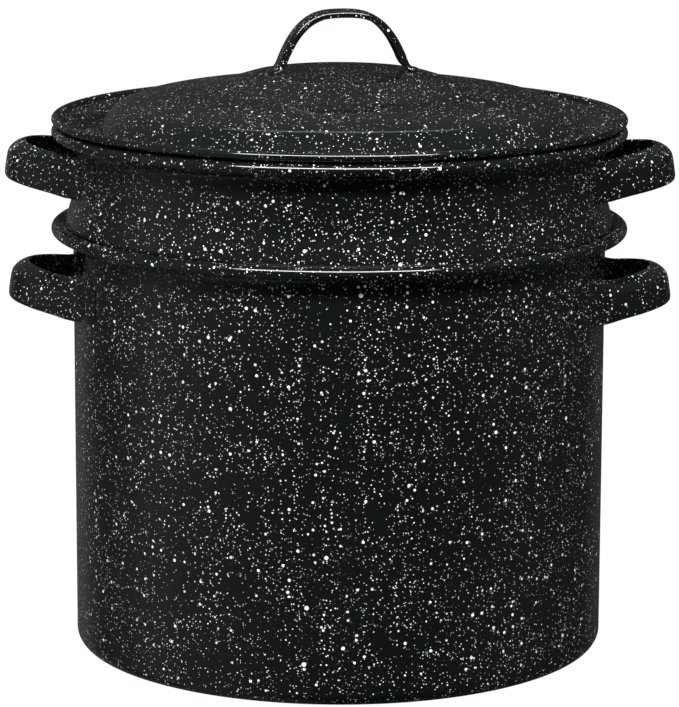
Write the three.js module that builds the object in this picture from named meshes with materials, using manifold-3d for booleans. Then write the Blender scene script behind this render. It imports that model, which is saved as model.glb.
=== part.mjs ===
// A three-piece enamelled steel stock pot: the pot, a perforated insert that
// hangs in its mouth, and a domed lid that sits in the insert's mouth.
// Millimetres, +Z up, origin at the centre of the pot's underside, X through
// the side handles, front towards -Y.
import * as THREE from 'three';
import { mergeVertices } from 'three/addons/utils/BufferGeometryUtils.js';
import Module from 'manifold-3d';

const wasm = await Module();
wasm.setup();

// ---- driving dimensions ----------------------------------------------------
const GAP = 0.3;                    // clearance kept between touching pieces
const SHEET = 1.1;                  // pressed steel with its enamel
const SIDES = 48;                   // facets round every turned shell

const POT_R = 141.5;                // outside of the pot's straight wall
const POT_CORNER_R = 7;             // bend between wall and bottom
const POT_BEAD_Z = 225;             // height of the rolled rim's centre
const BEAD_R = 3.2;                 // radius of a rolled rim
const BEAD_REACH = 8.3;             // from a wall's outside to its rim's centre
const MOUTH_R = 7.6;                // flare radius inside a mouth

const INSERT_R = 141;               // outside of the insert's upper wall
const INSERT_BEAD_Z = 276.2;
const STOP_R = 146;                 // largest radius of the stop bead
const STOP_Z = 229.8;
const STOP_BEAD_R = 3;
const BASKET_R = 138.3;             // outside of the insert inside the pot
const BASKET_Z = 28;                // underside of the insert's bottom
const BASKET_CORNER_R = 9;

const HOLE_R = 3.6;                 // drain holes
const HOLE_SIDES = 6;
const FLOOR_RINGS = [[0, 1], [25, 6], [50, 12], [75, 18], [100, 24]];
const WALL_HOLE_ROWS = [52, 72];
const WALL_HOLES_PER_ROW = 24;

const LID_BEAD_CENTRE_R = 150.2;
const LID_BEAD_R = 2.2;
const LID_BEAD_Z = 282.9;
const DOME_R = 124.9;               // the dome's steep edge
const DOME_EDGE_Z = 278.9;
const DOME_TOP_R = 53.8;            // where the dome meets the boss
const DOME_TOP_Z = 299.2;
const BOSS_R = 46;                  // the raised, nearly flat centre
const BOSS_EDGE_Z = 306.9;
const BOSS_TOP_Z = 307.9;

const GRIP_HEIGHT = 18.6;           // side handles: pressed channel section
const GRIP_REACH = 177.2;           // outermost point, from the axis
const GRIP_TILT = THREE.MathUtils.degToRad(8.5);
const GRIP_SHEET = 1.8;
const FOOT_HEIGHT = 25;
const FOOT_SHEET = 1.6;
const FOOT_GAP = 0.6;               // to the wall that the foot is welded to
const FOOT_ANGLES = [20.5, 23, 25.5, 28.5];
const FOOT_X = 143;                 // the grip stops sloping this far from the axis
const GRIP_BEND = [35, 48];         // |y| over which the grip flattens into a foot
const FOOT_TAPER = [58, 69];        // |y| over which a foot narrows to its end
const POT_GRIP_Z = 196.2;           // middle of the grip at its outermost point
const INSERT_GRIP_Z = 260.8;

const LID_GRIP_TOP = 339.9;
const LID_GRIP_WIDTH = 15;
const LID_GRIP_DEPTH = 3.2;         // over its turned-down edges
const LID_FOOT_SHEET = 1.3;
const LID_FOOT_FLARE = 1;           // extra half width at the feet
const LID_FOOT_BEND = [33, 37];     // distance out over which the grip becomes a foot
const LID_GRIP_TURN = THREE.MathUtils.degToRad(12);

const enamel = { color: 0x0b0d0e, roughness: 0.2, metalness: 0 };

// ---- outline helpers -------------------------------------------------------
const point = (r, z) => new THREE.Vector2(r, z);

// Points along an arc about (r, z), angles in degrees from +r towards +z.
function arc(r, z, radius, from, to, steps) {
  const points = [];
  for (let i = 0; i <= steps; i++) {
    const a = THREE.MathUtils.degToRad(from + (to - from) * i / steps);
    points.push(point(r + radius * Math.cos(a), z + radius * Math.sin(a)));
  }
  return points;
}

// A turned solid. The outline runs anticlockwise in the (r, z) half plane, from
// the axis out along the underside and back to the axis along the top.
function turned(outline) {
  const geometry = new THREE.LatheGeometry(outline, SIDES);
  geometry.rotateX(Math.PI / 2);
  return geometry;
}

// A closed skin over a row of equal rings of points, with flat ends.
function loft(rings) {
  const count = rings[0].length;
  const positions = rings.flat().flatMap((p) => [p.x, p.y, p.z]);
  const index = [];
  for (let i = 0; i + 1 < rings.length; i++) {
    for (let j = 0; j < count; j++) {
      const a = i * count + j;
      const b = i * count + (j + 1) % count;
      index.push(a, b, b + count, a, b + count, a + count);
    }
  }
  // Flat ends: the triangles follow the section's own direction.
  const cap = (section, start, facing) => {
    const keep = THREE.ShapeUtils.isClockWise(section) === facing;
    for (const [a, b, c] of THREE.ShapeUtils.triangulateShape(section, [])) {
      index.push(start + a, start + (keep ? b : c), start + (keep ? c : b));
    }
  };
  cap(rings[0].flat2d, 0, true);
  cap(rings.at(-1).flat2d, (rings.length - 1) * count, false);
  const geometry = new THREE.BufferGeometry();
  geometry.setAttribute('position', new THREE.Float32BufferAttribute(positions, 3));
  geometry.setIndex(index);
  return geometry;
}

// ---- the three shells ------------------------------------------------------
// Rolled rim and flared mouth on top of a wall of outside radius wallR: first
// up the outside, over the bead, then down the inside to the straight wall.
function rimOutline(wallR, beadZ) {
  const beadR = wallR + BEAD_REACH;
  const innerR = wallR - SHEET;
  const mouthZ = beadZ + BEAD_R - 0.6 - MOUTH_R;
  return [
    ...arc(wallR + 6.4, beadZ - 9.4, 6.4, 180, 110, 3),
    ...arc(beadR, beadZ, BEAD_R, -80, 100, 8),
    ...arc(innerR + MOUTH_R, mouthZ, MOUTH_R, 90, 180, 4),
  ];
}

function potBody() {
  const inner = POT_CORNER_R - SHEET;
  return turned([
    point(0, 0),
    ...arc(POT_R - POT_CORNER_R, POT_CORNER_R, POT_CORNER_R, -90, 0, 4),
    ...rimOutline(POT_R, POT_BEAD_Z),
    ...arc(POT_R - POT_CORNER_R, POT_CORNER_R, inner, 0, -90, 3),
    point(0, SHEET),
  ]);
}

function basketShell() {
  const cornerR = BASKET_R - BASKET_CORNER_R;
  const cornerZ = BASKET_Z + BASKET_CORNER_R;
  const stopCentre = STOP_R - STOP_BEAD_R;
  return turned([
    point(0, BASKET_Z),
    ...arc(cornerR, cornerZ, BASKET_CORNER_R, -90, 0, 4),
    point(BASKET_R, STOP_Z - 8),
    ...arc(stopCentre, STOP_Z, STOP_BEAD_R, -90, 90, 6),
    point(INSERT_R, STOP_Z + 5.5),
    ...rimOutline(INSERT_R, INSERT_BEAD_Z),
    point(INSERT_R - SHEET, STOP_Z + 4.6),
    ...arc(stopCentre, STOP_Z, STOP_BEAD_R - SHEET, 80, -80, 3),
    point(BASKET_R - SHEET, STOP_Z - 8.3),
    ...arc(cornerR, cornerZ, BASKET_CORNER_R - SHEET, 0, -90, 3),
    point(0, BASKET_Z + SHEET),
  ]);
}

function lidBody() {
  // Height of the lid's top face from the boss out to the dome's edge.
  const dome = (r) => {
    const t = (r - DOME_TOP_R) / (DOME_R - DOME_TOP_R);
    const fall = Math.pow(1 - Math.pow(t, 1.58), 1 / 2.65);
    return DOME_EDGE_Z + (DOME_TOP_Z - DOME_EDGE_Z) * fall;
  };
  const bossZ = (r) => BOSS_TOP_Z - (BOSS_TOP_Z - BOSS_EDGE_Z) * (r / BOSS_R) ** 2;
  const top = [
    point(0, BOSS_TOP_Z),
    point(BOSS_R / 2, bossZ(BOSS_R / 2)),
    point(BOSS_R - 2, bossZ(BOSS_R - 2)),
    point(BOSS_R + 1.8, BOSS_EDGE_Z - 1.6),
    point(DOME_TOP_R - 2, DOME_TOP_Z + 1.6),
    ...[57, 72, 87, 100, 110, 117, 121.5, 124].map((r) => point(r, dome(r))),
    point(DOME_R, DOME_EDGE_Z),
    point(127.5, 277.9),
    point(133, 277.5),
    point(138, 278.4),
    point(146.6, 280.3),
  ];
  const under = [
    point(146.4, 280.3 - SHEET),
    point(138, 278.4 - SHEET),
    point(133, 277.5 - SHEET),
    point(127, 277.9 - SHEET),
    point(DOME_R - SHEET, DOME_EDGE_Z - SHEET + 0.4),
    ...[123, 120, 115.5, 108.5, 98.5, 86, 71.5, 57].map((r) => point(r, dome(r) - SHEET * 1.05)),
    point(DOME_TOP_R - 2.6, DOME_TOP_Z + 0.6),
    point(BOSS_R + 1.2, BOSS_EDGE_Z - 2.6),
    point(BOSS_R - 2.3, bossZ(BOSS_R - 2) - SHEET),
    point(BOSS_R / 2, bossZ(BOSS_R / 2) - SHEET),
    point(0, BOSS_TOP_Z - SHEET),
  ];
  const bead = arc(LID_BEAD_CENTRE_R, LID_BEAD_Z, LID_BEAD_R, -130, 170, 8);
  return turned([...under.reverse(), ...bead, ...top.reverse()]);
}

// ---- drain holes -----------------------------------------------------------
function solidOf(geometry) {
  const bare = geometry.clone();
  bare.deleteAttribute('normal');
  bare.deleteAttribute('uv');
  const merged = mergeVertices(bare, 1e-4);
  return new wasm.Manifold(new wasm.Mesh({
    numProp: 3,
    vertProperties: new Float32Array(merged.attributes.position.array),
    triVerts: new Uint32Array(merged.index.array),
  }));
}

function geometryOf(solid) {
  const mesh = solid.getMesh();
  const geometry = new THREE.BufferGeometry();
  geometry.setAttribute('position', new THREE.BufferAttribute(mesh.vertProperties, 3));
  geometry.setIndex(new THREE.BufferAttribute(mesh.triVerts, 1));
  return geometry;
}

function drainHoles() {
  const drills = [];
  const drill = (length) => new THREE.CylinderGeometry(HOLE_R, HOLE_R, length, HOLE_SIDES);
  for (const [ringR, count] of FLOOR_RINGS) {
    for (let i = 0; i < count; i++) {
      const a = 2 * Math.PI * i / count;
      const hole = drill(10).rotateX(Math.PI / 2);
      drills.push(hole.translate(ringR * Math.cos(a), ringR * Math.sin(a), BASKET_Z));
    }
  }
  WALL_HOLE_ROWS.forEach((z, row) => {
    for (let i = 0; i < WALL_HOLES_PER_ROW; i++) {
      const a = 2 * Math.PI * (i + row / 2) / WALL_HOLES_PER_ROW;
      const hole = drill(10).rotateZ(Math.PI / 2).translate(BASKET_R, 0, 0);
      drills.push(hole.rotateZ(a).translate(0, 0, z));
    }
  });
  return drills;
}

function insertBody() {
  let solid = solidOf(basketShell());
  for (const hole of drainHoles()) solid = solid.subtract(solidOf(hole));
  return geometryOf(solid);
}

// ---- side handles ----------------------------------------------------------
// Both sections are listed as (depth towards the pot, height from the middle),
// outer face first, with the same number of points so that one turns into the
// other along the strap.
const half = GRIP_HEIGHT / 2;
const gripSection = [
  point(-3.2, -half), point(-0.7, -half + 0.6), point(0, -half + 2.6), point(-0.2, 3.2),
  point(-2.4, half - 1), point(-5.8, half),
  point(-5.8, half - GRIP_SHEET), point(-3.6, half - 2.6), point(-GRIP_SHEET - 0.2, 3.2),
  point(-GRIP_SHEET, -half + 2.6), point(-3.2, -half + GRIP_SHEET),
];
const tall = FOOT_HEIGHT / 2;
const footSection = [
  point(-1.2, -tall), point(-0.4, -tall + 1), point(0, -tall + 3), point(0, 3.2),
  point(0, tall - 3), point(-0.5, tall),
  point(-FOOT_SHEET, tall), point(-FOOT_SHEET, tall - 3), point(-FOOT_SHEET, 3.2),
  point(-FOOT_SHEET, -tall + 3), point(-FOOT_SHEET, -tall),
];

// A strap loop on a wall of outside radius wallR. side is 1 for +X, -1 for -X.
function sideHandle(wallR, gripZ, side) {
  const footR = wallR + FOOT_GAP + FOOT_SHEET;
  const foot = FOOT_ANGLES.map((degrees) => {
    const a = THREE.MathUtils.degToRad(degrees);
    return [footR * Math.cos(a), footR * Math.sin(a)];
  });
  const quarter = [[GRIP_REACH - 3, 16], [GRIP_REACH - 13.5, 30.5], [147, 42.2], ...foot];
  const route = [
    ...quarter.map(([x, y]) => new THREE.Vector3(x, -y, 0)).reverse(),
    new THREE.Vector3(GRIP_REACH, 0, 0),
    ...quarter.map(([x, y]) => new THREE.Vector3(x, y, 0)),
  ];
  const curve = new THREE.CatmullRomCurve3(route);
  const steps = 30;
  const rings = [];
  for (let i = 0; i <= steps; i++) {
    const at = curve.getPointAt(i / steps);
    const along = curve.getTangentAt(i / steps);
    const flat = THREE.MathUtils.smoothstep(Math.abs(at.y), ...GRIP_BEND);
    const taper = 1 - 0.35 * THREE.MathUtils.smoothstep(Math.abs(at.y), ...FOOT_TAPER);
    const middle = gripZ - Math.tan(GRIP_TILT) * (GRIP_REACH - Math.max(at.x, FOOT_X));
    const lean = Math.tan(GRIP_TILT) * (1 - flat);
    const section = gripSection.map((p, k) => p.clone().lerp(footSection[k], flat));
    const ring = section.map((p) => new THREE.Vector3(
      side * (at.x + along.y * p.x - lean * p.y),
      at.y - along.x * p.x,
      middle + p.y * taper,
    ));
    if (side > 0) ring.reverse();
    ring.flat2d = side > 0 ? section.reverse() : section;
    rings.push(ring);
  }
  return loft(rings);
}

// ---- lid handle ------------------------------------------------------------
function lidHandle() {
  const seat = BOSS_TOP_Z - 0.5 + GAP;
  const drop = (x, below) => [x, LID_GRIP_TOP - below];
  const quarter = [drop(9.5, 1.1), drop(18.5, 5.5), drop(26.5, 13.1), drop(32.3, 22.4),
    drop(34.8, 28.5), [37.2, seat + 1.7], [41, seat + 1.4]];
  const route = [
    ...quarter.map(([x, z]) => new THREE.Vector3(-x, 0, z)).reverse(),
    new THREE.Vector3(0, 0, LID_GRIP_TOP),
    ...quarter.map(([x, z]) => new THREE.Vector3(x, 0, z)),
  ];
  const curve = new THREE.CatmullRomCurve3(route);
  const steps = 34;
  const rings = [];
  for (let i = 0; i <= steps; i++) {
    const at = curve.getPointAt(i / steps);
    const along = curve.getTangentAt(i / steps);
    const foot = THREE.MathUtils.smoothstep(Math.abs(at.x), ...LID_FOOT_BEND);
    const depth = LID_GRIP_DEPTH + (LID_FOOT_SHEET - LID_GRIP_DEPTH) * foot;
    const wide = LID_GRIP_WIDTH / 2 + LID_FOOT_FLARE * foot;
    const section = [
      point(-0.3 * depth, wide), point(0, wide - 1.6), point(0, -wide + 1.6),
      point(-0.3 * depth, -wide), point(-depth, -wide + 0.3), point(-depth, wide - 0.3),
    ];
    const ring = section.map((p) => new THREE.Vector3(
      at.x - along.z * p.x,
      p.y,
      at.z + along.x * p.x,
    ));
    ring.flat2d = section;
    rings.push(ring);
  }
  return loft(rings).rotateZ(LID_GRIP_TURN);
}

// ---- assembly --------------------------------------------------------------
function named(name, geometry) {
  const mesh = new THREE.Mesh(geometry, new THREE.MeshStandardMaterial(enamel));
  mesh.name = name;
  return mesh;
}

const pot = new THREE.Group();
pot.add(named('pot_body', potBody()));
pot.add(named('pot_handle_right', sideHandle(POT_R, POT_GRIP_Z, 1)));
pot.add(named('pot_handle_left', sideHandle(POT_R, POT_GRIP_Z, -1)));

const insert = new THREE.Group();
insert.add(named('insert_body', insertBody()));
insert.add(named('insert_handle_right', sideHandle(INSERT_R, INSERT_GRIP_Z, 1)));
insert.add(named('insert_handle_left', sideHandle(INSERT_R, INSERT_GRIP_Z, -1)));

const lid = new THREE.Group();
lid.add(named('lid_body', lidBody()));
lid.add(named('lid_handle', lidHandle()));

const stockPot = new THREE.Group();
stockPot.add(pot, insert, lid);

export default stockPot;
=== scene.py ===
"""Looks of a speckled enamel stock pot: pot, hanging insert and domed lid.

Every shell is a turned sheet with rolled rims, every handle is a pressed strap,
and one enamel material, black with sprayed white specks, covers them all.
Dimensions of the pieces are in millimetres, and the camera and stage are in metres.
"""
import math

import bmesh
import bpy
import numpy as np
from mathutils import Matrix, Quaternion, Vector


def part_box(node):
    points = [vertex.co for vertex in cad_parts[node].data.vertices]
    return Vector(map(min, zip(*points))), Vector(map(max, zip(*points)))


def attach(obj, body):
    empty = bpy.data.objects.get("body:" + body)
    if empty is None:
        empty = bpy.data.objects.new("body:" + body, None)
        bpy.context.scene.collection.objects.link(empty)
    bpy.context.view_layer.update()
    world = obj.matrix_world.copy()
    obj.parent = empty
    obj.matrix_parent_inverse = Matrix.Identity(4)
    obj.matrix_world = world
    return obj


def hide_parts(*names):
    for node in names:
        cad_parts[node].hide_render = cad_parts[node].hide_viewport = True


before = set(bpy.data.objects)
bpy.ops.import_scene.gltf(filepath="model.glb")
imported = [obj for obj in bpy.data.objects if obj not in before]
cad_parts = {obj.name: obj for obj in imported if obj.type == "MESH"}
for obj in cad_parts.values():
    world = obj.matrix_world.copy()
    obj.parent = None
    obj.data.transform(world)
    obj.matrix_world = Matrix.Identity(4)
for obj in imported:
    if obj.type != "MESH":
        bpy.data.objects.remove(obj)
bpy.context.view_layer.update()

MM = 0.001

# ---- dimensions shared with the CAD model, in millimetres --------------------
SHEET = 1.1
AROUND = 288                      # facets round a turned shell

POT_R = 141.5
POT_CORNER_R = 7.0
BASE_RISE = 0.5                   # the base is pressed up inside its foot ring
POT_WALL_LOW_Z = 12.0             # the pot's straight wall, from here
POT_WALL_DROP = 14.0              # to this far under its bead's centre
BEAD_R = 3.2
BEAD_REACH = 8.3                  # from the wall's outside to the bead's centre
MOUTH_R = 7.6                     # the bend from a bead down into its mouth
MOUTH_DROP = 0.6                  # that bend's top, under the bead's top
FLARE_R = 6.4                     # the bend from a wall out to its bead
FLARE_DROP = 9.4                  # the flare starts this far under the bead's centre

INSERT_R = 141.0
STOP_R = 145.4                    # the lower edge of the skirt that rests in the mouth
STOP_Z = 229.3                    # the height of that edge
SEAT_GAP = 0.4                    # from the skirt's underside to the mouth
BASKET_R = 138.3
BASKET_CORNER_R = 9.0
HOLE_R = 3.6
LIP_SHARES = (0.0, 0.45, 0.8)     # mesh rows on the way from a hole's cell to its lip
FLOOR_RINGS = ((25.0, 6), (50.0, 12), (75.0, 18), (100.0, 24))  # radius, holes
FLOOR_RING_STEP = 25.0
WALL_HOLE_ROWS = (52.0, 72.0)     # the height of each row
WALL_ROW_STEP = 20.0
WALL_HOLES_PER_ROW = 24

LID_BEAD_CENTRE_R = 150.2
LID_BEAD_R = 2.2
LID_BEAD_Z = 282.9
DOME_R = 124.9                    # the dome's curve aims for this edge
DOME_EDGE_Z = 278.9
DOME_TOP_R = 53.8
DOME_TOP_Z = 299.9
DOME_POWER_R = 1.62               # exponents of the dome's curve, along r and z
DOME_POWER_Z = 2.85
FLANK_R = 114.5                   # the face leaves the curve and steepens here
BOSS_R = 46.0
BOSS_EDGE_Z = 306.9
BOSS_TOP_Z = 307.9

GRIP_HEIGHT = 20.2
GRIP_TILT = math.radians(8.5)
GRIP_SHEET = 1.7
GRIP_BULGE_RISE = 2.6             # the grip's outermost line, above its bottom edge
POT_GRIP_INSET = 1.2              # the pot's grips reach this much less far out
FOOT_X = 143.0                    # the grip stops sloping this far from the axis
FOOT_SHEET = 1.3
FOOT_GAP = 0.25                   # from the wall to the foot plate
FOOT_BOTTOM = -11.9               # from the strap's middle line
FOOT_TOP = 14.8
FOOT_MIDDLE = 1.5                 # the foot narrows towards this height
FOOT_NARROWING = 0.42             # lost at its end, of its height
FOOT_THINNING = 0.92              # and of its depth
FOOT_TAPER = 16.0                 # over this length
FOOT_START_Y = 36.0               # the strap flattens from here
FOOT_FLAT_Y = 56.0                # to here
FOOT_ANGLES = (20.5, 23.0, 25.5, 28.5)
CAD_FOOT_DROP = 12.5              # the CAD foot's lowest point, under the middle line

LID_GRIP_WIDTH = 15.0
LID_GRIP_DEPTH = 3.2
LID_GRIP_SHEET = 1.3
LID_GRIP_TURN = math.radians(12.0)
LID_GRIP_SHIFT = 1.2              # the strap sits this far to the right of the middle
LID_FOOT_START = 33.5             # the strap flattens from here, along the arch
LID_FOOT_FLAT = 37.5              # to here
LID_FOOT_END = 41.0

pot_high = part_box("pot_body")[1] / MM
insert_low, insert_high = (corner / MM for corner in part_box("insert_body"))
lid_grip_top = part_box("lid_handle")[1].z / MM

POT_BEAD_Z = pot_high.z - BEAD_R
INSERT_BEAD_Z = insert_high.z - BEAD_R
BASKET_Z = insert_low.z

# ---- camera, in metres -------------------------------------------------------
LENS_MM = 186.0
SENSOR_MM = 36.0
CAMERA_DISTANCE = 1.960
CAMERA_ELEVATION = math.radians(11.35)
CAMERA_AZIMUTH = math.radians(1.5)
CAMERA_ROLL = math.radians(0.18)
LOOK_AT = Vector((0.0003, 0.0, 0.1550))


def add_camera():
    data = bpy.data.cameras.new("camera")
    data.lens = LENS_MM
    data.sensor_width = SENSOR_MM
    data.clip_end = 50.0
    camera = bpy.data.objects.new("camera", data)
    flat = CAMERA_DISTANCE * math.cos(CAMERA_ELEVATION)
    offset = Vector((
        flat * math.sin(CAMERA_AZIMUTH),
        -flat * math.cos(CAMERA_AZIMUTH),
        CAMERA_DISTANCE * math.sin(CAMERA_ELEVATION),
    ))
    camera.location = LOOK_AT + offset
    facing = (-offset).to_track_quat("-Z", "Y")
    camera.rotation_euler = (facing @ Quaternion((0, 0, 1), CAMERA_ROLL)).to_euler()
    bpy.context.scene.collection.objects.link(camera)
    bpy.context.scene.camera = camera


# ---- mesh helpers ------------------------------------------------------------
def new_piece(name, vertices, faces):
    """A smooth-shaded mesh object from millimetre vertices."""
    mesh = bpy.data.meshes.new(name)
    mesh.from_pydata((np.asarray(vertices) * MM).tolist(), [], faces)
    mesh.validate()
    mesh.shade_smooth()
    piece = bpy.data.objects.new(name, mesh)
    bpy.context.scene.collection.objects.link(piece)
    return piece


def arc(r, z, radius, start, stop, steps):
    """Points on an arc about (r, z); angles in degrees from +r towards +z."""
    angles = np.radians(np.linspace(start, stop, steps + 1))
    return np.stack([r + radius * np.cos(angles), z + radius * np.sin(angles)], 1)


def rows(*parts):
    return np.vstack([np.asarray(part, float).reshape(-1, 2) for part in parts])


def spaced(points, step, closed=False):
    """The same polyline, with a point about every step."""
    points = np.asarray(points, float)
    if closed:
        points = np.vstack([points, points[:1]])
    length = np.linalg.norm(np.diff(points, axis=0), axis=1)
    at = np.concatenate([[0], np.cumsum(length)])
    count = max(2, int(round(at[-1] / step)) + 1)
    marks = np.linspace(0, at[-1], count)
    return np.stack([np.interp(marks, at, column) for column in points.T], 1)


def catmull(points, per_span=16):
    """A uniform Catmull-Rom curve through the points."""
    points = np.asarray(points, float)
    ends = np.vstack([2 * points[0] - points[1], points, 2 * points[-1] - points[-2]])
    t = np.linspace(0, 1, per_span, endpoint=False)[:, None]
    spans = []
    for a, b, c, d in zip(ends, ends[1:], ends[2:], ends[3:]):
        spans.append(0.5 * (2 * b + (c - a) * t + (2 * a - 5 * b + 4 * c - d) * t ** 2
                            + (3 * b - a - 3 * c + d) * t ** 3))
    return np.vstack(spans + [points[-1:]])


def softened(points, reach):
    """Evenly spaced points with their bends eased over reach points; ends stay."""
    kernel = np.exp(-0.5 * (np.arange(-3 * reach, 3 * reach + 1) / reach) ** 2)
    kernel /= kernel.sum()
    pad = 3 * reach
    before = 2 * points[0] - points[pad:0:-1]
    after = 2 * points[-1] - points[-2:-pad - 2:-1]
    padded = np.vstack([before, points, after])
    return np.stack([np.convolve(column, kernel, "valid") for column in padded.T], 1)


def smoothstep(value, low, high):
    t = np.clip((value - low) / (high - low), 0, 1)
    return t * t * (3 - 2 * t)


def facet_directions():
    """Unit directions from the axis to the corners of a turned shell's facets."""
    angles = np.arange(AROUND) * 2 * np.pi / AROUND
    return np.stack([np.cos(angles), np.sin(angles)], 1)


class Skin:
    """Vertices and faces gathered from several patches, joined where they meet."""

    def __init__(self):
        self.vertices = []
        self.faces = []

    def grid(self, points, wrap=False):
        """A patch of rows by columns of points; wrap closes each row on itself."""
        points = np.asarray(points, float)
        row_count, column_count = points.shape[:2]
        start = len(self.vertices)
        self.vertices.extend(points.reshape(-1, 3).tolist())
        last = column_count if wrap else column_count - 1
        for i in range(row_count - 1):
            for j in range(last):
                a = start + i * column_count + j
                b = start + i * column_count + (j + 1) % column_count
                self.faces.append((a, b, b + column_count, a + column_count))

    def turn(self, outline):
        """The surface that an open outline of (r, z) points sweeps about Z."""
        points = np.zeros((len(outline), AROUND, 3))
        points[..., :2] = outline[:, 0][:, None, None] * facet_directions()
        points[..., 2] = outline[:, 1][:, None]
        self.grid(points, wrap=True)

    def fan(self, centre, ring):
        """Triangles from a centre point to a closed ring."""
        start = len(self.vertices)
        self.vertices.append(list(centre))
        self.vertices.extend(np.asarray(ring, float).tolist())
        count = len(ring)
        for j in range(count):
            self.faces.append((start, start + 1 + j, start + 1 + (j + 1) % count))

    def piece(self, name):
        """The gathered patches as one piece, joined and with faces turned outward."""
        piece = new_piece(name, self.vertices, self.faces)
        work = bmesh.new()
        work.from_mesh(piece.data)
        bmesh.ops.remove_doubles(work, verts=work.verts, dist=0.002 * MM)
        bmesh.ops.recalc_face_normals(work, faces=work.faces)
        work.to_mesh(piece.data)
        work.free()
        piece.data.shade_smooth()
        return piece


# ---- shells ------------------------------------------------------------------
def mouth_centre(wall_r, bead_z):
    """(r, z) about which a shell's sheet bends from its bead into its mouth."""
    return wall_r - SHEET + MOUTH_R, bead_z + BEAD_R - MOUTH_DROP - MOUTH_R


def rim_outline(wall_r, bead_z):
    """Outside of the flare, over the rolled bead, and down inside the mouth."""
    mouth_r, mouth_z = mouth_centre(wall_r, bead_z)
    return rows(
        arc(wall_r + FLARE_R, bead_z - FLARE_DROP, FLARE_R, 180, 112, 12),
        arc(wall_r + BEAD_REACH, bead_z, BEAD_R, -100, 100, 32),
        arc(mouth_r, mouth_z, MOUTH_R, 96, 180, 14),
    )


def make_pot():
    corner_z = POT_CORNER_R
    corner_r = POT_R - POT_CORNER_R
    wall_high_z = POT_BEAD_Z - POT_WALL_DROP
    base = [(0.0, BASE_RISE), (60.0, BASE_RISE), (98.0, BASE_RISE),
            (101.0, 0.35), (104.0, 0.05), (107.0, 0.0)]
    outline = rows(
        base,
        arc(corner_r, corner_z, POT_CORNER_R, -90, 0, 14),
        [(POT_R, z) for z in np.linspace(POT_WALL_LOW_Z, wall_high_z, 24)],
        rim_outline(POT_R, POT_BEAD_Z),
        [(POT_R - SHEET, z) for z in np.linspace(wall_high_z, POT_WALL_LOW_Z, 24)],
        arc(corner_r, corner_z, POT_CORNER_R - SHEET, 0, -90, 10),
        [(r, z + SHEET) for r, z in reversed(base)],
    )
    skin = Skin()
    skin.turn(outline)
    return skin.piece("pot_shell")


def hole_rings(cell, centre, place):
    """Grid rows from a cell's edge over a rounded hole lip to its inner edge.

    cell and centre are in the sheet's own flat coordinates, and place(points,
    depth) puts them on the sheet, depth below its outer face.
    """
    away = cell - centre
    towards = away / np.linalg.norm(away, axis=1)[:, None]
    lip = SHEET / 2
    to_lip = centre + towards * (HOLE_R + lip) - cell
    ring_rows = [place(cell + to_lip * share, 0.0) for share in LIP_SHARES]
    for angle in np.radians(np.linspace(90, -90, 9)):
        radius = HOLE_R + lip - lip * math.cos(angle)
        ring_rows.append(place(centre + towards * radius, lip - lip * math.sin(angle)))
    ring_rows += [place(cell + to_lip * share, SHEET) for share in reversed(LIP_SHARES)]
    return np.array(ring_rows)


def cell_edge(low_u, high_u, low_v, high_v, across_u, across_v):
    """Points round a rectangle, across_u spans along u and across_v along v."""
    u = np.linspace(low_u, high_u, across_u + 1)
    v = np.linspace(low_v, high_v, across_v + 1)
    return np.vstack([
        np.stack([u[:-1], np.full(across_u, low_v)], 1),
        np.stack([np.full(across_v, high_u), v[:-1]], 1),
        np.stack([u[:0:-1], np.full(across_u, high_v)], 1),
        np.stack([np.full(across_v, low_u), v[:0:-1]], 1),
    ])


def add_floor_holes(skin, floor_z):
    """The perforated disc out to the last ring's outer edge."""
    for ring_r, count in FLOOR_RINGS:
        width = 2 * np.pi / count

        def place(points, depth, ring_r=ring_r):
            radius = points[:, 1]
            angle = points[:, 0] / ring_r
            z = np.full(len(points), floor_z + depth)
            return np.stack([radius * np.cos(angle), radius * np.sin(angle), z], 1)

        for i in range(count):
            middle = i * width * ring_r
            half = width * ring_r / 2
            edge = cell_edge(middle - half, middle + half, ring_r - FLOOR_RING_STEP / 2,
                             ring_r + FLOOR_RING_STEP / 2, AROUND // count, 8)
            skin.grid(hole_rings(edge, np.array([middle, ring_r]), place), wrap=True)

    def place_middle(points, depth):
        z = np.full(len(points), floor_z + depth)
        return np.column_stack([points, z])

    rim = FLOOR_RING_STEP / 2 * facet_directions()
    skin.grid(hole_rings(rim, np.zeros(2), place_middle), wrap=True)


def add_wall_holes(skin, wall_r):
    """Two rows of holes round the lower wall."""
    for row, middle_z in enumerate(WALL_HOLE_ROWS):
        width = 2 * np.pi / WALL_HOLES_PER_ROW

        def place(points, depth):
            angle = points[:, 0] / wall_r
            radius = wall_r - depth
            return np.stack([radius * np.cos(angle), radius * np.sin(angle), points[:, 1]], 1)

        for i in range(WALL_HOLES_PER_ROW):
            middle = (i + row / 2) * width * wall_r
            half = width * wall_r / 2
            edge = cell_edge(middle - half, middle + half, middle_z - WALL_ROW_STEP / 2,
                             middle_z + WALL_ROW_STEP / 2, AROUND // WALL_HOLES_PER_ROW, 8)
            skin.grid(hole_rings(edge, np.array([middle, middle_z]), place), wrap=True)


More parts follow.
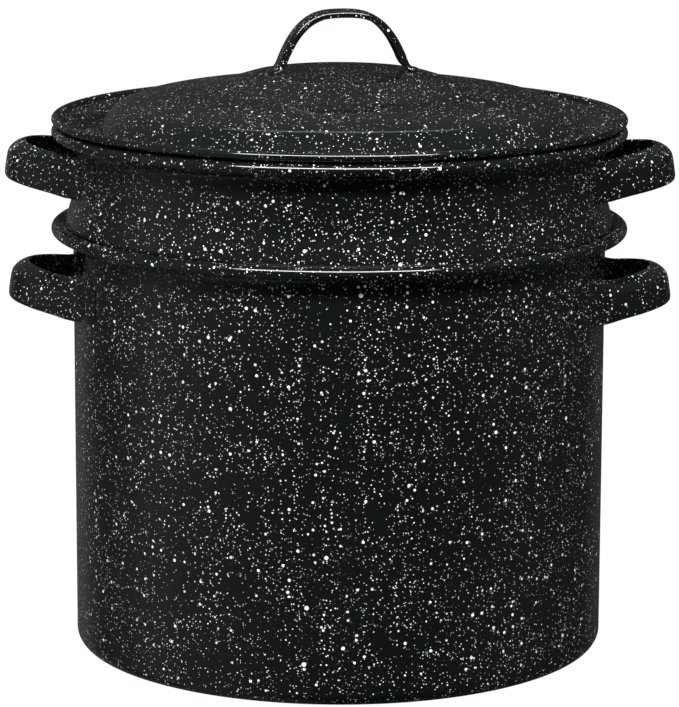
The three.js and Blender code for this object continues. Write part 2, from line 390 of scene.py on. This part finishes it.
def make_insert():
    corner_r = BASKET_R - BASKET_CORNER_R
    corner_z = BASKET_Z + BASKET_CORNER_R
    # the skirt's underside follows the bend inside the pot's mouth
    mouth_r, mouth_z = mouth_centre(POT_R, POT_BEAD_Z)
    seat = MOUTH_R + SEAT_GAP
    disc_r = FLOOR_RINGS[-1][0] + FLOOR_RING_STEP / 2
    floor_r = 120.0
    holes_low = WALL_HOLE_ROWS[0] - WALL_ROW_STEP / 2
    holes_high = WALL_HOLE_ROWS[-1] + WALL_ROW_STEP / 2
    inner_r = BASKET_R - SHEET
    collar_low, collar_high = STOP_Z + 22, INSERT_BEAD_Z - 12
    skin = Skin()
    skin.turn(rows(
        (disc_r, BASKET_Z), (floor_r, BASKET_Z),
        arc(corner_r, corner_z, BASKET_CORNER_R, -90, 0, 14),
        (BASKET_R, holes_low),
    ))
    skin.turn(rows(
        (inner_r, holes_low),
        arc(corner_r, corner_z, BASKET_CORNER_R - SHEET, 0, -90, 12),
        (floor_r, BASKET_Z + SHEET), (disc_r, BASKET_Z + SHEET),
    ))
    skirt = [(STOP_R - 0.2, STOP_Z + 0.6), (STOP_R - 1.4, STOP_Z + 4.8),
             (INSERT_R + 1.8, STOP_Z + 8.8), (INSERT_R + 0.7, STOP_Z + 12.6),
             (INSERT_R + 0.1, STOP_Z + 16.0), (INSERT_R, STOP_Z + 19.0)]
    outside = rows(
        [(BASKET_R, z) for z in np.linspace(holes_high, STOP_Z - 13, 14)],
        (BASKET_R + 0.3, STOP_Z - 11.0),
        arc(mouth_r, mouth_z, seat, 168, 108, 14),
        (STOP_R - 0.2, STOP_Z - 1.0), (STOP_R, STOP_Z - 0.3),
        catmull(skirt, 6),
        [(INSERT_R, z) for z in np.linspace(collar_low, collar_high, 3)],
        rim_outline(INSERT_R, INSERT_BEAD_Z),
    )
    inside_r = INSERT_R - SHEET
    inside = rows(
        [(inside_r, z) for z in np.linspace(collar_high, collar_low, 3)],
        catmull([(r - SHEET, z - 0.4) for r, z in reversed(skirt)], 6),
        arc(mouth_r, mouth_z, seat + SHEET, 112, 165, 12),
        (inner_r, STOP_Z - 11.6),
        [(inner_r, z) for z in np.linspace(STOP_Z - 14, holes_high, 14)],
    )
    skin.turn(np.vstack([outside, inside]))
    add_wall_holes(skin, BASKET_R)
    add_floor_holes(skin, BASKET_Z)
    return skin.piece("insert_shell")


def dome_z(r):
    """Height of the dome's top face between the boss and the flank."""
    t = (r - DOME_TOP_R) / (DOME_R - DOME_TOP_R)
    fall = (1 - t ** DOME_POWER_R) ** (1 / DOME_POWER_Z)
    return DOME_EDGE_Z + (DOME_TOP_Z - DOME_EDGE_Z) * fall


def make_lid():
    boss = np.linspace(0, BOSS_R - 3, 12)
    boss_z = BOSS_TOP_Z - (BOSS_TOP_Z - BOSS_EDGE_Z) * (boss / BOSS_R) ** 2
    shoulder = catmull([(BOSS_R - 3, boss_z[-1]), (BOSS_R + 1.0, 306.3), (52.5, 304.7),
                        (59.0, 302.7), (65.5, 300.9), (72.0, dome_z(72.0) + 0.3)], 6)
    dome_r = np.linspace(74.0, FLANK_R, 24)
    dome = np.stack([dome_r, dome_z(dome_r)], 1)
    # the flank ends in a trough, which then climbs clear of the insert's mouth
    trough = catmull([(FLANK_R, dome_z(FLANK_R)), (117.5, dome_z(117.5)), (120.4, 287.5),
                      (122.7, 285.2), (125.0, 282.3), (127.0, 279.4), (128.8, 276.3),
                      (130.4, 273.7), (132.8, 272.3), (135.8, 272.3), (138.0, 273.8),
                      (139.3, 276.4), (141.1, 278.6), (143.0, 280.1), (145.2, 281.0),
                      (147.0, 281.6), (148.4, 282.4)], 5)
    top = rows(np.stack([boss, boss_z], 1)[:-1], shoulder[:-1], dome[:-1], trough[:-1])
    # ease the places where these curves meet
    top = spaced(softened(spaced(top, 0.4), 2), 0.9)
    slope = np.gradient(top, axis=0)
    normal = np.stack([slope[:, 1], -slope[:, 0]], 1)
    normal /= np.linalg.norm(normal, axis=1)[:, None]
    under = (top + normal * SHEET)[::-1]
    under = under[under[:, 0] > 0.5]
    top[0, 0] = 0.0
    bead = arc(LID_BEAD_CENTRE_R, LID_BEAD_Z, LID_BEAD_R, 165, -125, 28)
    outline = rows(top, bead, under, (0.0, under[-1, 1]))
    skin = Skin()
    skin.turn(outline)
    return skin.piece("lid_shell")


# ---- pressed strap handles -----------------------------------------------------
def strip(curve, thickness, count=24):
    """A rounded strip: an open curve, and its offset to the left, as one ring."""
    curve = softened(spaced(catmull(curve), 0.1), 4)
    marks = np.linspace(0, len(curve) - 1, count)
    base = np.stack([np.interp(marks, np.arange(len(curve)), c) for c in curve.T], 1)
    slope = np.gradient(base, axis=0)
    slope /= np.linalg.norm(slope, axis=1)[:, None]
    left = np.stack([-slope[:, 1], slope[:, 0]], 1)
    middle = base + left * thickness / 2
    half = thickness / 2

    def cap(centre, direction, side):
        return np.array([centre + half * (direction * np.cos(a) + side * np.sin(a))
                         for a in np.radians(np.linspace(-70, 70, 7))])

    tip = cap(middle[-1], slope[-1], left[-1])
    tail = cap(middle[0], -slope[0], -left[0])
    return np.vstack([base, tip, (base + left * thickness)[::-1], tail])


def loft(name, rings):
    """A closed skin over equal rings of points."""
    skin = Skin()
    skin.grid(rings, wrap=True)
    skin.fan(rings[0].mean(0), rings[0])
    skin.fan(rings[-1].mean(0), rings[-1])
    return skin.piece(name)


def grip_section():
    """Outer face, from the bottom edge over the crest to the lip's inner edge.

    Points are (depth, height from the strap's middle line).
    """
    half = GRIP_HEIGHT / 2
    outer = [(-3.6, -half + 0.3), (-1.4, -half + 0.4), (-0.25, -half + 2.0),
             (0.0, -half + 5.0), (0.0, -0.5), (-0.2, half - 6.5), (-1.2, half - 4.2),
             (-3.2, half - 2.3), (-5.6, half - 1.0), (-8.0, half - 0.3)]
    return strip(outer, GRIP_SHEET)


def foot_section():
    """The same sheet pressed flat against the wall."""
    outer = [(-1.5, FOOT_BOTTOM), (-0.6, FOOT_BOTTOM + 1.1), (-0.1, FOOT_BOTTOM + 3.0),
             (0.0, -5.5), (0.0, -1.0), (0.0, 4.0), (0.0, 6.5), (-0.1, 9.6),
             (-0.5, FOOT_TOP - 2.0), (-1.5, FOOT_TOP)]
    ring = strip(outer, FOOT_SHEET)
    ring[:, 0] = np.maximum(ring[:, 0], -FOOT_SHEET - 0.15)
    return ring


def flare_offset(z, flare_z):
    """How far the wall has flared outward at height z under its rim."""
    climb = np.clip(z - flare_z, 0.0, FLARE_R - 0.3)
    return FLARE_R - np.sqrt(FLARE_R ** 2 - climb ** 2)


def side_handle(name, node, wall_r, bead_z, inset=0.0):
    """A strap loop on the wall; the node's box says which side and how far out."""
    low, high = (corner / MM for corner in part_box(node))
    side = 1 if high.x > 0 else -1
    lean = math.tan(GRIP_TILT)
    outermost = max(high.x, -low.x)
    reach = outermost - lean * (GRIP_HEIGHT / 2 - GRIP_BULGE_RISE) - inset
    grip_z = low.z + CAD_FOOT_DROP + lean * (reach - FOOT_X)
    foot_r = wall_r + FOOT_SHEET + FOOT_GAP
    foot = [(foot_r * math.cos(math.radians(a)), foot_r * math.sin(math.radians(a)))
            for a in FOOT_ANGLES]
    quarter = [(reach - 3.0, 16.0), (reach - 13.5, 30.5), (147.0, 42.2)] + foot
    route = [(x, -y) for x, y in reversed(quarter)] + [(reach, 0.0)] + quarter
    path = softened(spaced(catmull(route), 0.5), 7)[::2]
    along = np.gradient(path, axis=0)
    along /= np.linalg.norm(along, axis=1)[:, None]
    grip, pad = grip_section(), foot_section()
    rings = []
    end_y = abs(path[0, 1])
    for (x, y), (dx, dy) in zip(path, along):
        flat = smoothstep(abs(y), FOOT_START_Y, FOOT_FLAT_Y)
        section = grip + (pad - grip) * flat
        ending = np.clip((abs(y) - (end_y - FOOT_TAPER)) / FOOT_TAPER, 0, 1)
        narrow = 1 - FOOT_NARROWING * ending ** 2.5
        section[:, 1] = FOOT_MIDDLE + (section[:, 1] - FOOT_MIDDLE) * narrow
        depth = section[:, 0]
        if ending > 0:
            thin = 1 - FOOT_THINNING * ending ** 1.6
            depth = -FOOT_SHEET + (depth + FOOT_SHEET) * thin
        middle = grip_z - lean * (reach - max(x, FOOT_X))
        pz = middle + section[:, 1]
        depth = depth + flat * flare_offset(pz, bead_z - FLARE_DROP)
        shift = -lean * section[:, 1] * (1 - flat)
        px = x + dy * depth + shift
        py = y - dx * depth
        rings.append(np.stack([side * px, py, pz], 1))
    return loft(name, np.array(rings))


def lid_handle():
    """The lid's strap, arched over the boss and turned a little about the axis."""
    seat = BOSS_TOP_Z - 0.9
    quarter = [(12.0, lid_grip_top - 1.1), (20.6, lid_grip_top - 5.5),
               (27.5, lid_grip_top - 13.1), (32.6, lid_grip_top - 22.4),
               (34.8, seat + 4.9), (36.8, seat + 2.1), (LID_FOOT_END, seat + 1.2)]
    route = [(-a, z) for a, z in reversed(quarter)] + [(0.0, lid_grip_top)] + quarter
    path = softened(spaced(catmull(route), 0.3), 5)[::2]
    along = np.gradient(path, axis=0)
    along /= np.linalg.norm(along, axis=1)[:, None]
    half = LID_GRIP_WIDTH / 2
    depth = LID_GRIP_DEPTH
    # outer face across the strap, as (depth, place across)
    strap = strip([(-depth, -half), (-1.5, -half + 0.05), (-0.45, -half + 0.7),
                   (-0.05, -half + 2.2), (0.05, 0.0), (-0.05, half - 2.2),
                   (-0.45, half - 0.7), (-1.5, half - 0.05), (-depth, half)],
                  LID_GRIP_SHEET)
    pad = strip([(-0.8, -half - 1.0), (-0.3, -half - 0.3), (0.0, -half + 0.9),
                 (0.0, -half + 2.6), (0.0, 0.0), (0.0, half - 2.6),
                 (0.0, half - 0.9), (-0.3, half + 0.3), (-0.8, half + 1.0)],
                LID_GRIP_SHEET)
    turn = np.array([[math.cos(LID_GRIP_TURN), math.sin(LID_GRIP_TURN)],
                     [-math.sin(LID_GRIP_TURN), math.cos(LID_GRIP_TURN)]])
    rings = []
    for (a, z), (da, dz) in zip(path, along):
        foot = smoothstep(abs(a), LID_FOOT_START, LID_FOOT_FLAT)
        section = strap + (pad - strap) * foot
        ending = np.clip((abs(a) - LID_FOOT_FLAT) / (LID_FOOT_END - LID_FOOT_FLAT), 0, 1)
        across = section[:, 1] * (1 - 0.45 * ending ** 2)
        pa = a - dz * section[:, 0]
        pz = z + da * section[:, 0]
        flat = np.stack([pa, across], 1) @ turn
        flat[:, 0] += LID_GRIP_SHIFT
        rings.append(np.column_stack([flat, pz]))
    return loft("lid_strap", np.array(rings))


# ---- shader node helpers ------------------------------------------------------
def feed(tree, socket, value):
    """Link another node's output to the socket, or set a constant on it."""
    if isinstance(value, bpy.types.NodeSocket):
        tree.links.new(value, socket)
    else:
        socket.default_value = value


def math_node(tree, operation, *values):
    node = tree.nodes.new("ShaderNodeMath")
    node.operation = operation
    for socket, value in zip(node.inputs, values):
        feed(tree, socket, value)
    return node.outputs[0]


def map_range(tree, value, low, high, start=0.0, end=1.0, kind="SMOOTHSTEP"):
    """From start to end as value goes from low to high."""
    node = tree.nodes.new("ShaderNodeMapRange")
    node.interpolation_type = kind
    for key, setting in (("Value", value), ("From Min", low), ("From Max", high),
                         ("To Min", start), ("To Max", end)):
        feed(tree, node.inputs[key], setting)
    return node.outputs[0]


def mix_colour(tree, factor, a, b):
    node = tree.nodes.new("ShaderNodeMix")
    node.data_type = "RGBA"
    for key, value in (("Factor", factor), ("A", a), ("B", b)):
        feed(tree, node.inputs[key], value)
    return node.outputs["Result"]


# ---- enamel ---------------------------------------------------------------------
BLACKS = ((0.0026, 0.0032, 0.0034, 1), (0.0048, 0.0058, 0.0060, 1))
WHITES = ((0.80, 0.82, 0.84, 1), (0.96, 0.97, 0.96, 1))
# drops, finest first: cell mm, largest radius mm, share of cells, shift, crowding
DROPS = (
    (1.3, 0.33, 0.58, 0.11, 0.35),
    (2.1, 0.47, 0.70, 0.37, 0.35),
    (4.2, 0.95, 0.45, 0.53, 0.3),
    (9.5, 1.25, 0.30, 0.29, 0.0),
)
SMALLEST = 0.35                   # radius of the smallest drop of a kind, of the largest
DROP_CORE = 0.85                  # the part of a drop's radius that is fully white


def speckled_enamel(name, seed, grain=1.0):
    """Glossy black with white drops; grain scales the size of the drops."""
    material = bpy.data.materials.new(name)
    material.use_nodes = True
    tree = material.node_tree
    nodes = tree.nodes
    links = tree.links
    shader = nodes["Principled BSDF"]
    place = nodes.new("ShaderNodeTexCoord").outputs["Object"]

    def noise(scale, detail, offset):
        shift = nodes.new("ShaderNodeVectorMath")
        shift.operation = "ADD"
        links.new(place, shift.inputs[0])
        shift.inputs[1].default_value = (offset, seed * 0.37, -offset)
        node = nodes.new("ShaderNodeTexNoise")
        node.inputs["Scale"].default_value = scale
        node.inputs["Detail"].default_value = detail
        links.new(shift.outputs[0], node.inputs["Vector"])
        return node.outputs["Fac"]

    def bump(height, strength, distance):
        node = nodes.new("ShaderNodeBump")
        node.inputs["Strength"].default_value = strength
        node.inputs["Distance"].default_value = distance
        links.new(height, node.inputs["Height"])
        return node

    crowd = map_range(tree, noise(45.0, 2.0, 1.7), 0.64, 0.36, 1.0, 0.0)

    def specks(cell_mm, radius_mm, share, offset, gather):
        """Round drops on a share of the cells, each of its own size and white."""
        move = nodes.new("ShaderNodeMapping")
        move.inputs["Location"].default_value = (offset, seed + offset, offset * 0.5)
        links.new(place, move.inputs["Vector"])
        cells = nodes.new("ShaderNodeTexVoronoi")
        cells.inputs["Scale"].default_value = 1000.0 / cell_mm
        links.new(move.outputs[0], cells.inputs["Vector"])
        pick = nodes.new("ShaderNodeSeparateColor")
        links.new(cells.outputs["Color"], pick.inputs[0])
        limit = math_node(tree, "MULTIPLY_ADD", crowd, share * 2 * gather,
                          share * (1 - gather))
        chosen = math_node(tree, "LESS_THAN", pick.outputs[0], limit)
        size = math_node(tree, "MULTIPLY_ADD", pick.outputs[1], 1 - SMALLEST, SMALLEST)
        radius = math_node(tree, "MULTIPLY", size, radius_mm * grain / cell_mm)
        core = math_node(tree, "MULTIPLY", radius, DROP_CORE)
        spot = map_range(tree, cells.outputs["Distance"], core, radius, 1.0, 0.0)
        strength = math_node(tree, "MULTIPLY_ADD", pick.outputs[2], 0.42, 0.58)
        kept = math_node(tree, "MULTIPLY", spot, chosen)
        return math_node(tree, "MULTIPLY", kept, strength)

    dust, fine, middling, large = (specks(*drop) for drop in DROPS)
    drops = math_node(tree, "MAXIMUM", math_node(tree, "MAXIMUM", dust, fine),
                      math_node(tree, "MAXIMUM", middling, large))

    black = mix_colour(tree, noise(9.0, 3.0, 4.1), *BLACKS)
    white = mix_colour(tree, noise(160.0, 2.0, 2.3), *WHITES)
    links.new(mix_colour(tree, drops, black, white), shader.inputs["Base Color"])

    # roughness from 0.07 to 0.15
    gloss = math_node(tree, "MULTIPLY_ADD", noise(55.0, 3.0, 3.3), 0.08, 0.07)
    links.new(gloss, shader.inputs["Roughness"])

    peel = bump(noise(120.0, 2.0, 5.9), 0.12, 0.0004)
    raised = bump(drops, 0.35, 0.00012)
    links.new(peel.outputs[0], raised.inputs["Normal"])
    links.new(raised.outputs[0], shader.inputs["Normal"])
    return material


# ---- stage, in metres -----------------------------------------------------------
FLOOR_REACH = 6
WHITE = 0.99                      # the floor and the backdrop, as the camera sees them
SKY = 0.20                        # even light on matt colours
UPPER_GREY = 0.115                # what the gloss reflects from well above the horizon
ROOM_TOP = (0.2, 0.6)             # sines of the heights where the room fades to that
# what the gloss reflects near the horizon: degrees round from the front, to the right +
ROOM_GREYS = (
    (-180, 0.025), (-147, 0.125), (-120, 0.06), (-104, 0.11), (-85, 0.23), (-63, 0.16),
    (-40, 0.09), (-17, 0.025), (0, 0.02), (40, 0.012), (86, 0.06), (106, 0.05),
    (136, 0.035), (150, 0.055), (180, 0.025),
)


def area_light(name, location, target, size, power):
    data = bpy.data.lights.new(name, "AREA")
    data.shape = "RECTANGLE"
    data.size, data.size_y = size
    data.energy = power
    lamp = bpy.data.objects.new(name, data)
    lamp.location = location
    direction = Vector(target) - Vector(location)
    lamp.rotation_euler = direction.to_track_quat("-Z", "Y").to_euler()
    bpy.context.scene.collection.objects.link(lamp)
    return lamp


def room_colour(grey):
    return (grey, grey * 1.05, grey * 1.09, 1)


def add_world():
    """Even light for matt colours, a dim room for the gloss, white for the camera."""
    world = bpy.data.worlds.new("studio")
    world.use_nodes = True
    tree = world.node_tree
    direction = tree.nodes.new("ShaderNodeTexCoord").outputs["Generated"]
    split = tree.nodes.new("ShaderNodeSeparateXYZ")
    tree.links.new(direction, split.inputs[0])
    front = math_node(tree, "MULTIPLY", split.outputs["Y"], -1.0)
    around = math_node(tree, "ARCTAN2", split.outputs["X"], front)
    room = tree.nodes.new("ShaderNodeValToRGB")
    stops = room.color_ramp.elements
    stops[0].color = stops[-1].color = room_colour(ROOM_GREYS[0][1])
    for degrees, grey in ROOM_GREYS[1:-1]:
        stops.new((degrees + 180) / 360).color = room_colour(grey)
    turn = map_range(tree, around, -math.pi, math.pi, kind="LINEAR")
    tree.links.new(turn, room.inputs[0])
    climb = map_range(tree, split.outputs["Z"], *ROOM_TOP)
    gloss = mix_colour(tree, climb, room.outputs["Color"], room_colour(UPPER_GREY))
    ray = tree.nodes.new("ShaderNodeLightPath").outputs
    lit = mix_colour(tree, ray["Is Glossy Ray"], (SKY, SKY, SKY, 1), gloss)
    seen = mix_colour(tree, ray["Is Camera Ray"], lit, (WHITE, WHITE, WHITE, 1))
    back = tree.nodes["Background"]
    tree.links.new(seen, back.inputs["Color"])
    back.inputs["Strength"].default_value = 1.0
    bpy.context.scene.world = world


def add_stage():
    """A white floor that lights nothing and isn't mirrored, the world and the lamps."""
    mesh = bpy.data.meshes.new("floor")
    corners = [(x * FLOOR_REACH, y * FLOOR_REACH, 0)
               for x, y in ((-1, -1), (1, -1), (1, 1), (-1, 1))]
    mesh.from_pydata(corners, [], [(0, 1, 2, 3)])
    floor = bpy.data.objects.new("floor", mesh)
    bpy.context.scene.collection.objects.link(floor)
    material = bpy.data.materials.new("pale_floor")
    material.use_nodes = True
    shader = material.node_tree.nodes["Principled BSDF"]
    shader.inputs["Base Color"].default_value = (0.03, 0.03, 0.03, 1)
    shader.inputs["Roughness"].default_value = 0.9
    shader.inputs["Specular IOR Level"].default_value = 0.0
    shader.inputs["Emission Color"].default_value = (1, 1, 1, 1)
    shader.inputs["Emission Strength"].default_value = WHITE
    mesh.materials.append(material)
    floor.visible_diffuse = False
    floor.visible_glossy = False

    add_world()
    middle = (0.0, -0.1, 0.25)
    area_light("front", (0.0, -1.35, 1.6), middle, (2.5, 0.42), 106)
    area_light("overhead", (0.0, 0.80, 1.70), middle, (1.2, 0.2), 1.3)
    # these three light the matt specks and stay out of the gloss
    for name, place, size, power in (
        ("left", (-1.5, -0.45, 1.62), (0.28, 0.8), 10),
        ("right", (1.5, -0.45, 1.62), (0.28, 0.8), 10),
        ("back_fill", (0.0, 2.2, 1.1), (2.5, 1.0), 26),
    ):
        area_light(name, place, middle, size, power).visible_glossy = False
    bpy.context.scene.view_settings.view_transform = "Standard"


# ---- assembly ---------------------------------------------------------------------
add_camera()
add_stage()


def finish_piece(piece, body, node, material):
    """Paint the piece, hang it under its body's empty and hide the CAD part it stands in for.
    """
    piece.data.materials.clear()
    piece.data.materials.append(material)
    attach(piece, body)
    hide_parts(node)


pot_enamel = speckled_enamel("enamel_pot", 1.0)
insert_enamel = speckled_enamel("enamel_insert", 5.0)
lid_enamel = speckled_enamel("enamel_lid", 9.0, 0.85)

finish_piece(make_pot(), "pot", "pot_body", pot_enamel)
finish_piece(make_insert(), "insert", "insert_body", insert_enamel)
finish_piece(make_lid(), "lid", "lid_body", lid_enamel)
finish_piece(lid_handle(), "lid", "lid_handle", lid_enamel)
for side in ("right", "left"):
    node = f"pot_handle_{side}"
    strap = side_handle(f"pot_strap_{side}", node, POT_R, POT_BEAD_Z, POT_GRIP_INSET)
    finish_piece(strap, "pot", node, pot_enamel)
    node = f"insert_handle_{side}"
    strap = side_handle(f"insert_strap_{side}", node, INSERT_R, INSERT_BEAD_Z)
    finish_piece(strap, "insert", node, insert_enamel)
